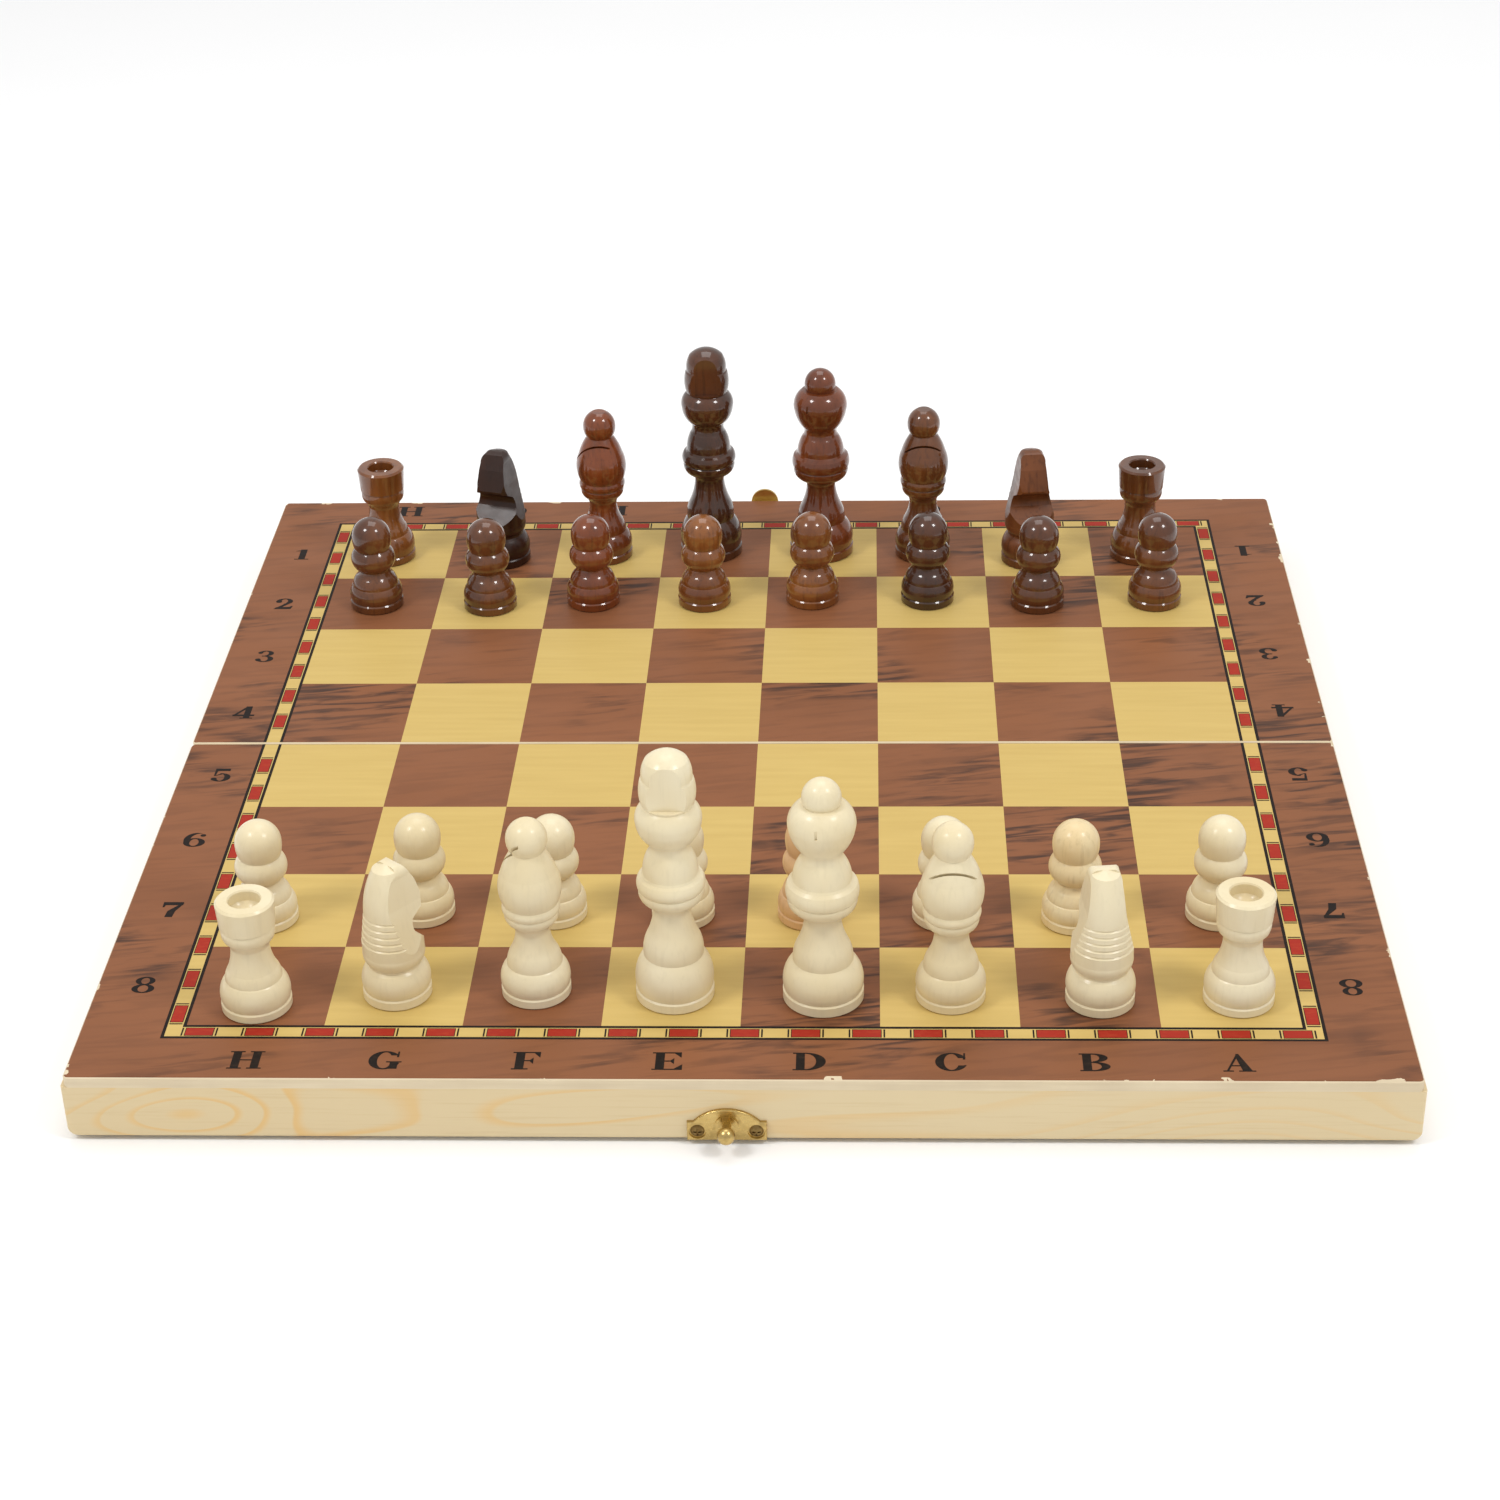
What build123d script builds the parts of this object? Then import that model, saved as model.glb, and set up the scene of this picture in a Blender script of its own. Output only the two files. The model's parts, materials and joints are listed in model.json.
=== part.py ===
from build123d import *
from math import asin, cos, sin
import os

# Folding chess set, in millimetres. The board is two shallow half boxes, hinged at the seam, that lie
# with their rims down and their printed panels up. +X runs along the near edge, +Y goes from the near
# player to the far one, +Z is up. The origin lies under the middle of the seam, on the rim plane.

# Board
square = 35.5  # side of one playing square
side_border = 28.0  # board beyond the squares, left and right
end_border = 22.3  # board beyond the squares, near and far
print_margin = 0.7  # middle of the seam to the first row of squares
panel_t = 3.2  # printed panel
rail_h = 15.4  # depth of the box under the panel
rail_t = 8.0  # rail thickness
seam_gap = 0.6  # air between the halves when the board is open
panel_inset = 0.8  # panel edge behind the rail faces, left and right
panel_corner_r = 1.5  # panel corners in plan
panel_ease = 0.5  # eased top edge of the panel
rail_end_round = 2.6  # lower edges of the two short sides
rail_front_round = 0.9  # lower edge of the near and far faces

# Butt hinges, let into the rims at the seam
hinge_x = 105.0  # each side of the middle
leaf_l = 16.0  # along the pin
leaf_t = 0.8
leaf_w = 6.6  # from the pin axis to the free edge
leaf_sink = 0.1  # leaf face under the rim plane
barrel_r = 1.2
pin_r = 0.6
pin_play = 0.05  # radial, in the turning knuckle
knuckle_gap = 0.2  # between knuckles, along the pin
barrel_clear = 0.3  # rail wood kept off the barrel
mortise_clear = 0.15  # leaf outline to mortise wall
hinge_screw_r = 0.7
hinge_screw_head_r = 1.25
hinge_screw_l = 5.5
hinge_screw_pitch = 9.0

# Latch: a knob on the near face, a swinging arm on the far face
latch_x = -2.9
latch_z = 5.0  # height of the knob and of the arm's pivot over the rim plane
plate_w = 20.0
plate_t = 0.9
plate_foot = 0.3  # plate's lower edge over the rim plane
plate_shoulder = 5.9  # height of the plate's ears
plate_h = 9.7  # height of the plate's arch
plate_ear = 1.6  # flat top of each ear
plate_screw_pitch = 14.8
plate_screw_z = 3.0
plate_screw_r = 0.8
plate_screw_head_r = 1.8
plate_screw_head_h = 0.75
plate_dish_r = 2.2  # dished seat of each screw
plate_dish_d = 0.45
plate_screw_l = 6.0
cross_w = 0.45  # cross recess of the screw
cross_l = 2.2
cross_d = 0.5
knob_flange_r = 2.95
knob_flange_t = 0.4
knob_neck_r = 1.2
knob_neck_l = 1.9
knob_ball_r = 2.3
arm_t = 0.9
arm_play = 0.15  # air each side of the arm, along its rivet
arm_hub_r = 3.0
arm_bar_w = 4.4
arm_tab_r = 4.6
arm_tab_reach = 12.3  # pivot to the middle of the round tab
hook_play = 0.3  # hook slot wider than the knob's neck, each side
rivet_r = 1.2
rivet_play = 0.05  # radial
rivet_head_r = 2.1
rivet_head_h = 0.9
rivet_step_r = 1.8  # shoulder that holds the arm off the plate

# Chessmen. An outline runs up from the rim of the foot as (radius, height) points; a run of four
# values is an arc, through the first pair to the second.
foot_ease = 0.4
pawn_outline = [
    *((8.5, foot_ease), (8.5, 2.4), (8.15, 2.8)),  # foot, and the groove over it
    (8.45, 5.0, 7.55, 7.5),  # bulge
    *((7.3, 7.7), (7.05, 9.0, 6.1, 10.7)),  # bead
    (5.3, 11.8, 4.95, 12.9),  # neck
    *((5.5, 13.5), (7.05, 16.9, 5.75, 20.1)),  # collar
    *((5.6, 20.3), (6.1, 22.1, 6.25, 24.3)),  # lower half of the head
]
pawn_dome_h = 6.25  # upper half of the head
rook_outline = [
    *((9.1, foot_ease), (9.1, 2.3), (8.75, 2.7)),
    (9.1, 5.2, 7.7, 9.0),
    *((7.4, 9.3), (7.2, 10.4, 6.4, 12.2)),
    (5.45, 15.0, 5.0, 18.9),
    (5.4, 20.0, 6.5, 21.5),  # flare under the ring
    (6.95, 23.2, 6.75, 24.9),  # ring
    *((7.15, 25.1), (7.6, 32.0), (7.0, 32.6)),  # drum
]
rook_cup_r = 4.1
rook_cup_wall = 3.1  # straight part of the cup
rook_cup_dish = 2.0  # round floor of the cup
bishop_outline = [
    *((9.0, foot_ease), (9.0, 2.4), (8.65, 2.8)),
    (9.05, 5.6, 7.5, 9.2),
    *((7.2, 9.5), (7.0, 11.1, 6.3, 13.1)),
    (4.95, 16.2, 4.45, 18.9),
    (4.75, 20.6, 5.9, 22.1),
    (6.85, 23.4, 7.0, 24.9),  # lower ring
    *((6.8, 25.2), (7.2, 25.4), (7.5, 26.5, 7.25, 27.6), (7.1, 27.9)),  # upper ring
    (8.15, 32.4, 7.2, 37.2),  # head
    (6.0, 40.3, 4.4, 43.0),
    *((4.3, 43.2), (5.05, 44.8, 5.3, 46.8), (3.9, 50.39, 2.2, 51.62)),  # ball, flat at its top
]
bishop_slit_y = 5.6  # where the slit's middle opens, off the axis
bishop_slit_z = 40.7
bishop_slit_d = 3.4
bishop_slit_tilt = 54.0
slit_w = 0.6
queen_outline = [
    *((10.45, foot_ease), (10.45, 2.9), (10.05, 3.3)),
    (10.4, 6.6, 8.2, 11.5),
    *((7.8, 12.0), (7.6, 14.4, 6.6, 17.2)),
    (5.25, 20.9, 4.7, 24.3),
    (5.1, 25.8, 6.9, 27.1),
    (8.55, 28.7, 8.95, 30.8),
    *((8.75, 31.1), (9.15, 31.4), (9.4, 33.2, 8.9, 35.1), (8.0, 35.8), (7.6, 36.4)),
    (7.3, 38.7, 6.0, 41.8),  # second tier
    (5.3, 43.5, 5.7, 45.1),  # waist
    *((7.4, 47.7, 8.5, 51.2), (8.4, 54.6, 5.9, 57.9)),  # flared cup
    *((4.68, 58.1), (4.96, 59.05, 5.05, 60.0)),  # lower half of the ball
]
queen_dome_h = 5.05
queen_slit_x = 1.35
queen_slit_z = 54.6
queen_slit_h = 4.0
queen_slit_d = 1.0
king_outline = [
    *((10.15, foot_ease), (10.15, 2.7), (9.75, 3.1)),
    (10.15, 6.4, 8.1, 12.6),
    *((7.75, 13.1), (7.7, 15.8, 6.8, 18.8)),
    (5.4, 22.7, 4.8, 26.6),
    (5.2, 28.1, 6.9, 29.3),
    (8.15, 30.8, 8.35, 32.7),
    *((8.1, 33.0), (8.5, 33.3), (8.8, 34.7, 8.2, 36.5), (7.4, 37.0), (7.1, 37.6)),
    (6.95, 39.9, 5.8, 43.4),
    (5.15, 45.2, 5.5, 46.9),
    *((7.5, 49.4, 8.4, 52.6), (8.3, 55.0, 7.0, 57.1)),
    *((6.5, 57.5), (6.7, 57.9), (7.25, 61.4, 6.8, 64.7)),  # block
    *((6.45, 65.2), (6.45, 65.6), (6.2, 68.3, 5.4, 70.2)),  # crown
]
king_dome_h = 2.3
king_flat_y = 5.2  # flat faces, off the axis
king_flat_z = 58.2
knight_outline = [
    *((8.9, foot_ease), (8.9, 2.6), (8.55, 3.0)),
    (8.95, 5.8, 7.6, 9.4),
    *((6.95, 10.0), (6.9, 10.6)),
]
knight_waist_z = 10.6
knight_body_r = 8.0
knight_full_z = 14.2  # where the turned body reaches its full radius
knight_back_r = 7.0  # at the top of the mane
knight_top_z = 39.4
mane_low = 17.7
mane_pitch = 1.85
mane_grooves = 5
mane_depth = 0.4
mane_round = 0.35  # half the width of a groove

# Where the men stand, as (right, away) from the middle of their squares, from the left
back_row = ("rook", "knight", "bishop", "king", "queen", "bishop", "knight", "rook")
side_names = ("left", "left", "left", "", "", "right", "right", "right")
white_back_nudge = (
    *((-1.1, -8.6), (-0.8, -3), (-0.2, -2), (0.4, -3)),
    *((3.2, -4), (0.4, -4), (3.1, -5.5), (3, -5)),
)
white_pawn_nudge = (
    *((-5.6, -4), (1.1, -1), (1.5, -1.5), (0.5, -2)),
    *((-1, -2), (-0.5, -2.5), (-1.5, -4), (1.5, -2)),
)
black_back_nudge = (
    *((-3.3, -1), (0.2, -3.3), (-1.5, -0.5), (-1.7, 2)),
    *((-0.5, 2), (-2.5, 0), (-3.2, -5), (-2.5, -2)),
)
black_pawn_nudge = (
    *((-2, 0), (-0.5, -1.3), (-2.8, 1.5), (-2.3, 1)),
    *((-3, 2.5), (-1.5, 2), (-1.9, -1), (0.1, 0.5)),
)
# Which way the carved or slit face of each back-row man is turned, in degrees from +Y
white_back_turn = (0, -40, 95, 0, 180, 180, 6, 0)
black_back_turn = (0, 164, 150, 180, 160, 175, 186, 0)

board_w = 8 * square + 2 * side_border
half_d = print_margin + 4 * square + end_border
top_z = rail_h + panel_t
seam_y = seam_gap / 2
leaf_z = leaf_sink + leaf_t


def keep(builder, name):
    """Label a finished piece and write it."""
    builder.part.label = name
    export_step(builder.part, f"parts/{name}.step")


def dome_middle(radius, z, rise):
    """Middle of the arc from (radius, z) to the axis at z + rise; a negative rise makes a dish."""
    sphere_r = (radius**2 + rise**2) / (2 * abs(rise))
    half_angle = asin(radius / sphere_r) / 2
    drop = sphere_r * (1 - cos(half_angle))
    return (sphere_r * sin(half_angle), z + rise - drop if rise > 0 else z + rise + drop)


def hinge_places():
    return (-hinge_x, hinge_x)


def screw_places(x):
    return (x - hinge_screw_pitch / 2, x + hinge_screw_pitch / 2)


def edge_along_x(part, y, z):
    """The edge of a part that runs along X nearest the point (0, y, z)."""
    return part.edges().filter_by(Axis.X).sort_by_distance((0, y, z))[0]


# ---------------------------------------------------------------- board halves
def panel(side, name):
    """Printed panel of one half; side is -1 for the near half, 1 for the far half."""
    y_mid = side * (seam_y + half_d) / 2
    with BuildPart() as board:
        with BuildSketch(Plane.XY.offset(rail_h)):
            with Locations((0, y_mid)):
                Rectangle(board_w - 2 * panel_inset, half_d - seam_y)
        extrude(amount=panel_t)
        fillet(board.edges().filter_by(Axis.Z), panel_corner_r)
        chamfer(board.faces().sort_by(Axis.Z)[-1].edges(), panel_ease)
    keep(board, name)


def outer_rail(side, name):
    """Rail across the near or far face; it carries the latch."""
    y_face = side * half_d
    with BuildPart() as rail:
        with BuildSketch(Plane.XY):
            with Locations((0, y_face - side * rail_t / 2)):
                Rectangle(board_w, rail_t)
        extrude(amount=rail_h)
        fillet(rail.edges().filter_by(Axis.Y).group_by(Axis.Z)[0], rail_end_round)
        fillet(edge_along_x(rail, y_face, 0), rail_front_round)
        holes = [(x, plate_screw_z, plate_screw_r) for x in plate_screw_xs()]
        for x, z, radius in [*holes, (0, latch_z, rivet_r)]:
            with BuildSketch(face_plane(side, 0)):
                with Locations((x, z)):
                    Circle(radius)
            extrude(amount=-plate_screw_l, mode=Mode.SUBTRACT)
    keep(rail, name)


def plate_screw_xs():
    return (-plate_screw_pitch / 2, plate_screw_pitch / 2)


def side_rail(end, side, name):
    """Short rail between the outer rail and the seam rail; end is -1 at the left, 1 at the right."""
    x_face = end * board_w / 2
    y_in = seam_y + rail_t
    y_out = half_d - rail_t
    with BuildPart() as rail:
        with BuildSketch(Plane.XY):
            with Locations((x_face - end * rail_t / 2, side * (y_in + y_out) / 2)):
                Rectangle(rail_t, y_out - y_in)
        extrude(amount=rail_h)
        low = rail.edges().filter_by(Axis.Y).group_by(Axis.Z)[0]
        fillet(low.sort_by(Axis.X)[-1 if end > 0 else 0], rail_end_round)
    keep(rail, name)


def seam_rail(side, name):
    """Rail along the seam, cut away for the hinge leaves, their screws and their barrels."""
    with BuildPart() as rail:
        with BuildSketch(Plane.XY):
            with Locations((0, side * (seam_y + rail_t / 2))):
                Rectangle(board_w, rail_t)
        extrude(amount=rail_h)
        ends = rail.edges().filter_by(Axis.Y).group_by(Axis.Z)[0]
        fillet(ends, rail_end_round)
        for x in hinge_places():
            with BuildSketch(Plane.XY):
                with Locations((x, side * (leaf_w + mortise_clear) / 2)):
                    Rectangle(leaf_l + 2 * mortise_clear, leaf_w + mortise_clear)
            extrude(amount=leaf_z, mode=Mode.SUBTRACT)
            with BuildSketch(Plane.YZ.offset(x - leaf_l / 2 - mortise_clear)):
                Circle(barrel_r + barrel_clear)
            extrude(amount=leaf_l + 2 * mortise_clear, mode=Mode.SUBTRACT)
            for screw_x in screw_places(x):
                with BuildSketch(Plane.XY.offset(leaf_sink)):
                    with Locations((screw_x, side * hinge_screw_y())):
                        Circle(hinge_screw_r)
                extrude(amount=hinge_screw_l, mode=Mode.SUBTRACT)
    keep(rail, name)


# ---------------------------------------------------------------- hinges
def hinge_screw_y():
    """Screw line, halfway between the barrel and the leaf's free edge."""
    return (barrel_r + barrel_clear + leaf_w) / 2


def knuckle_spans(x, side):
    """The stretches of barrel that belong to one leaf: the ends to the near leaf, the middle to the far."""
    third = leaf_l / 3
    left = x - leaf_l / 2
    if side > 0:
        return [(left + third + knuckle_gap / 2, third - knuckle_gap)]
    return [(left, third - knuckle_gap / 2), (left + 2 * third + knuckle_gap / 2, third - knuckle_gap / 2)]


def hinge_leaf(x, side, name):
    """One brass leaf with its knuckles; the near leaf grips the pin, the far leaf turns on it."""
    bore = pin_r if side < 0 else pin_r + pin_play
    root_y = barrel_r + knuckle_gap
    with BuildPart() as leaf:
        with BuildSketch(Plane.XY.offset(leaf_sink)):
            with Locations((x, side * (root_y + leaf_w) / 2)):
                Rectangle(leaf_l, leaf_w - root_y)
        extrude(amount=leaf_t)
        for start, length in knuckle_spans(x, side):
            with BuildSketch(Plane.XY.offset(leaf_sink)):
                with Locations((start + length / 2, side * root_y / 2)):
                    Rectangle(length, root_y)
            extrude(amount=leaf_t)
            with BuildSketch(Plane.YZ.offset(start)):
                Circle(barrel_r)
            extrude(amount=length)
        with BuildSketch(Plane.YZ.offset(x - leaf_l / 2)):
            Circle(bore)
        extrude(amount=leaf_l, mode=Mode.SUBTRACT)
        for screw_x in screw_places(x):
            with BuildSketch(Plane.XY.offset(leaf_sink)):
                with Locations((screw_x, side * hinge_screw_y())):
                    Circle(hinge_screw_head_r)
            with BuildSketch(Plane.XY.offset(leaf_sink + hinge_screw_head_r - hinge_screw_r)):
                with Locations((screw_x, side * hinge_screw_y())):
                    Circle(hinge_screw_r)
            loft(mode=Mode.SUBTRACT)
            with BuildSketch(Plane.XY.offset(leaf_sink)):
                with Locations((screw_x, side * hinge_screw_y())):
                    Circle(hinge_screw_r)
            extrude(amount=leaf_t, mode=Mode.SUBTRACT)
    keep(leaf, name)


def hinge_pin(x, name):
    with BuildPart() as pin:
        with BuildSketch(Plane.YZ.offset(x - leaf_l / 2)):
            Circle(pin_r)
        extrude(amount=leaf_l)
    keep(pin, name)


def hinge_screws(side, name):
    """The four countersunk screws of one half, heads flush with the leaves."""
    with BuildPart() as screws:
        for x in hinge_places():
            for screw_x in screw_places(x):
                place = (screw_x, side * hinge_screw_y(), leaf_sink)
                seat = Plane(origin=place, x_dir=(1, 0, 0), z_dir=(0, -1, 0))
                with BuildSketch(seat):
                    with BuildLine():
                        Polyline(
                            (0, 0),
                            (hinge_screw_head_r, 0),
                            (hinge_screw_r, hinge_screw_head_r - hinge_screw_r),
                            (hinge_screw_r, hinge_screw_l),
                            (0, hinge_screw_l),
                            close=True,
                        )
                    make_face()
                revolve(axis=Axis(seat.origin, (0, 0, 1)))
                with BuildSketch(Plane.XY.offset(leaf_sink)):
                    with Locations((screw_x, side * hinge_screw_y())):
                        Rectangle(2 * hinge_screw_r, cross_w)
                extrude(amount=leaf_sink + cross_d / 2, mode=Mode.SUBTRACT)
    keep(screws, name)


# ---------------------------------------------------------------- latch
def face_plane(side, out, x=latch_x, z=0.0):
    """A plane on the near or far face, out millimetres proud of it, looking away from the board."""
    return Plane(origin=(x, side * (half_d + out), z), x_dir=(-side, 0, 0), z_dir=(0, side, 0))


def latch_plate(side, name):
    """Arched brass plate with two ears, its screw holes and a hole for the knob or rivet."""
    ear_x = plate_w / 2 - plate_ear
    with BuildPart() as plate:
        with BuildSketch(face_plane(side, 0)):
            with BuildLine():
                Line((-plate_w / 2, plate_foot), (plate_w / 2, plate_foot))
                Line((plate_w / 2, plate_foot), (plate_w / 2, plate_shoulder))
                Line((plate_w / 2, plate_shoulder), (ear_x, plate_shoulder))
                ThreePointArc((ear_x, plate_shoulder), (0, plate_h), (-ear_x, plate_shoulder))
                Line((-ear_x, plate_shoulder), (-plate_w / 2, plate_shoulder))
                Line((-plate_w / 2, plate_shoulder), (-plate_w / 2, plate_foot))
            make_face()
            with Locations(*[(x, plate_screw_z) for x in plate_screw_xs()]):
                Circle(plate_screw_r, mode=Mode.SUBTRACT)
            with Locations((0, latch_z)):
                Circle(rivet_r, mode=Mode.SUBTRACT)
        extrude(amount=plate_t)
        with BuildSketch(face_plane(side, plate_t)):
            with Locations(*[(x, plate_screw_z) for x in plate_screw_xs()]):
                Circle(plate_dish_r)
        extrude(amount=-plate_dish_d, mode=Mode.SUBTRACT)
        rim = plate.faces().sort_by(Axis.Y)[-1 if side > 0 else 0].outer_wire().edges()
        fillet(rim, plate_t / 3)
    keep(plate, name)


def seat_out():
    """Floor of a screw's dish, proud of the rail face."""
    return plate_t - plate_dish_d


def plate_screws(side, name):
    """Two round-head cross-recess screws through one plate into the rail."""
    with BuildPart() as screws:
        for x in plate_screw_xs():
            base = face_plane(side, seat_out())
            spot = base.from_local_coords((x, plate_screw_z, 0))
            axis = Axis(spot, base.z_dir)
            slice_plane = Plane(origin=spot, x_dir=(1, 0, 0), z_dir=(0, 0, side))
            with BuildSketch(slice_plane):
                with BuildLine():
                    Line((0, -plate_screw_l), (plate_screw_r, -plate_screw_l))
                    Line((plate_screw_r, -plate_screw_l), (plate_screw_r, 0))
                    Line((plate_screw_r, 0), (plate_screw_head_r, 0))
                    ThreePointArc(
                        (plate_screw_head_r, 0),
                        dome_middle(plate_screw_head_r, 0, plate_screw_head_h),
                        (0, plate_screw_head_h),
                    )
                    Line((0, plate_screw_head_h), (0, -plate_screw_l))
                make_face()
            revolve(axis=axis)
            with BuildSketch(face_plane(side, seat_out() + plate_screw_head_h, spot.X, spot.Z)):
                Rectangle(cross_l, cross_w)
                Rectangle(cross_w, cross_l)
            extrude(amount=-cross_d, mode=Mode.SUBTRACT)
    keep(screws, name)


def knob():
    """Ball-ended knob on the near plate, with its tail in the rail."""
    with BuildPart() as stud:
        for out, radius, length in (
            (-plate_screw_l, rivet_r, plate_screw_l + plate_t),
            (plate_t, knob_flange_r, knob_flange_t),
            (plate_t + knob_flange_t, knob_neck_r, knob_neck_l),
        ):
            with BuildSketch(face_plane(-1, out, latch_x, latch_z)):
                Circle(radius)
            extrude(amount=length)
        ball_y = -half_d - plate_t - knob_flange_t - knob_neck_l - (knob_ball_r**2 - knob_neck_r**2) ** 0.5
        with Locations((latch_x, ball_y, latch_z)):
            Sphere(knob_ball_r)
    keep(stud, "catch_knob")


def arm_out():
    """Inner face of the arm, proud of the far rail face."""
    return plate_t + knob_flange_t + arm_play


def rivet():
    """Rivet on the far plate: tail in the rail, shoulder, journal for the arm, domed head."""
    with BuildPart() as stud:
        for out, radius, length in (
            (-plate_screw_l, rivet_r, plate_screw_l + plate_t),
            (plate_t, rivet_step_r, knob_flange_t),
            (plate_t + knob_flange_t, rivet_r, arm_t + 2 * arm_play),
            (arm_out() + arm_t + arm_play, rivet_head_r, rivet_head_h),
        ):
            with BuildSketch(face_plane(1, out, latch_x, latch_z)):
                Circle(radius)
            extrude(amount=length)
        head_edge = stud.edges().filter_by(GeomType.CIRCLE).sort_by(Axis.Y)[-1]
        fillet(head_edge, rivet_head_h * 0.7)
    keep(stud, "latch_rivet")


def latch_arm():
    """Swinging arm, here turned up: hub, bar and round tab with a side slot that hooks the knob's neck."""
    hook_r = 2 * latch_z
    slot_w = 2 * (knob_neck_r + hook_play)
    with BuildPart() as arm:
        with BuildSketch(face_plane(1, arm_out(), latch_x, latch_z)):
            Circle(arm_hub_r)
            with Locations((0, arm_tab_reach / 2)):
                Rectangle(arm_bar_w, arm_tab_reach)
            with Locations((0, arm_tab_reach)):
                Circle(arm_tab_r)
            Circle(rivet_r + rivet_play, mode=Mode.SUBTRACT)
            with BuildLine():
                opening = CenterArc((0, 0), hook_r, 90, 45)
            SlotArc(opening, slot_w, mode=Mode.SUBTRACT)
        extrude(amount=arm_t)
    keep(arm, "latch_arm")


# ---------------------------------------------------------------- chessmen
def stand_at(column, row, nudge, turn):
    """The plane a man stands on; columns and rows count from the near left, turn is from +Y."""
    x = (column - 3.5) * square + nudge[0]
    first = print_margin + square / 2
    y = first + (row - 4) * square if row > 3 else -first - (3 - row) * square
    return Plane(origin=(x, y + nudge[1], top_z)).rotated((0, 0, turn))


def lathe_outline(stand, start, runs):
    """Half outline of (radius, height) points; a run of four values is an arc through its first two."""
    side = Plane(origin=stand.origin, x_dir=stand.x_dir, z_dir=-stand.y_dir)
    with BuildSketch(side) as outline:
        with BuildLine():
            Line((0, start[1]), start)
            here = start
            for run in runs:
                there = run[-2:]
                if len(run) == 4:
                    ThreePointArc(here, run[:2], there)
                else:
                    Line(here, there)
                here = there
            if here[0] > 0:
                Line(here, (0, here[1]))
            Line((0, here[1]), (0, start[1]))
        make_face()
    return outline.sketch


def lathe_axis(stand):
    return Axis(stand.origin, stand.z_dir)


def foot_start(outline):
    """The flat under the foot ends at the eased edge."""
    return (outline[0][0] - foot_ease, 0)


def turned(stand, outline):
    """A solid turned to an outline that starts at the foot."""
    return revolve(lathe_outline(stand, foot_start(outline), outline), axis=lathe_axis(stand))


def domed(outline, rise):
    """The outline closed by a round top that rises over its last point."""
    radius, z = outline[-1][-2:]
    return outline + [(*dome_middle(radius, z, rise), 0, z + rise)]


def make_pawn(stand, name):
    with BuildPart() as man:
        turned(stand, domed(pawn_outline, pawn_dome_h))
    keep(man, name)


def make_rook(stand, name):
    rim_z = rook_outline[-1][1]
    floor_z = rim_z - rook_cup_wall
    cup = [
        (rook_cup_r + 0.3, rim_z),
        (rook_cup_r, rim_z - 0.4),
        (rook_cup_r, floor_z),
        (*dome_middle(rook_cup_r, floor_z, -rook_cup_dish), 0, floor_z - rook_cup_dish),
    ]
    with BuildPart() as man:
        turned(stand, rook_outline + cup)
    keep(man, name)


def make_bishop(stand, name):
    mouth = Plane(
        origin=stand.from_local_coords((0, bishop_slit_y, bishop_slit_z)),
        x_dir=stand.x_dir,
        z_dir=stand.z_dir,
    )
    with BuildPart() as man:
        turned(stand, bishop_outline)
        with BuildSketch(mouth.rotated((-bishop_slit_tilt, 0, 0))):
            Rectangle(4 * bishop_slit_y, 2 * bishop_slit_d)
        extrude(amount=slit_w / 2, both=True, mode=Mode.SUBTRACT)
    keep(man, name)


def make_queen(stand, name):
    cup_r = max(run[-2] for run in queen_outline[10:])
    slit = Plane(
        origin=stand.from_local_coords((queen_slit_x, cup_r, queen_slit_z)),
        x_dir=stand.x_dir,
        z_dir=stand.z_dir,
    )
    with BuildPart() as man:
        turned(stand, domed(queen_outline, queen_dome_h))
        with BuildSketch(slit):
            Rectangle(slit_w, 2 * queen_slit_d)
        extrude(amount=queen_slit_h / 2, both=True, mode=Mode.SUBTRACT)
    keep(man, name)


def make_king(stand, name):
    crown_r, crown_z = king_outline[-1][-2:]
    with BuildPart() as man:
        turned(stand, domed(king_outline, king_dome_h))
        for way in (-1, 1):
            with BuildSketch(stand.offset(king_flat_z)):
                with Locations((0, way * (king_flat_y + crown_r / 2))):
                    Rectangle(4 * crown_r, crown_r)
            extrude(amount=crown_z, mode=Mode.SUBTRACT)
    keep(man, name)


def mane_runs():
    """Grooves cut round the back of the neck, one above the other."""
    runs = []
    for index in range(mane_grooves):
        z = mane_low + index * mane_pitch
        r = knight_body_r + (knight_back_r - knight_body_r) * index / (mane_grooves - 1)
        runs += [(r, z - mane_round), (r - mane_depth, z), (r - mane_round / 2, z + mane_round)]
    return runs


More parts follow.
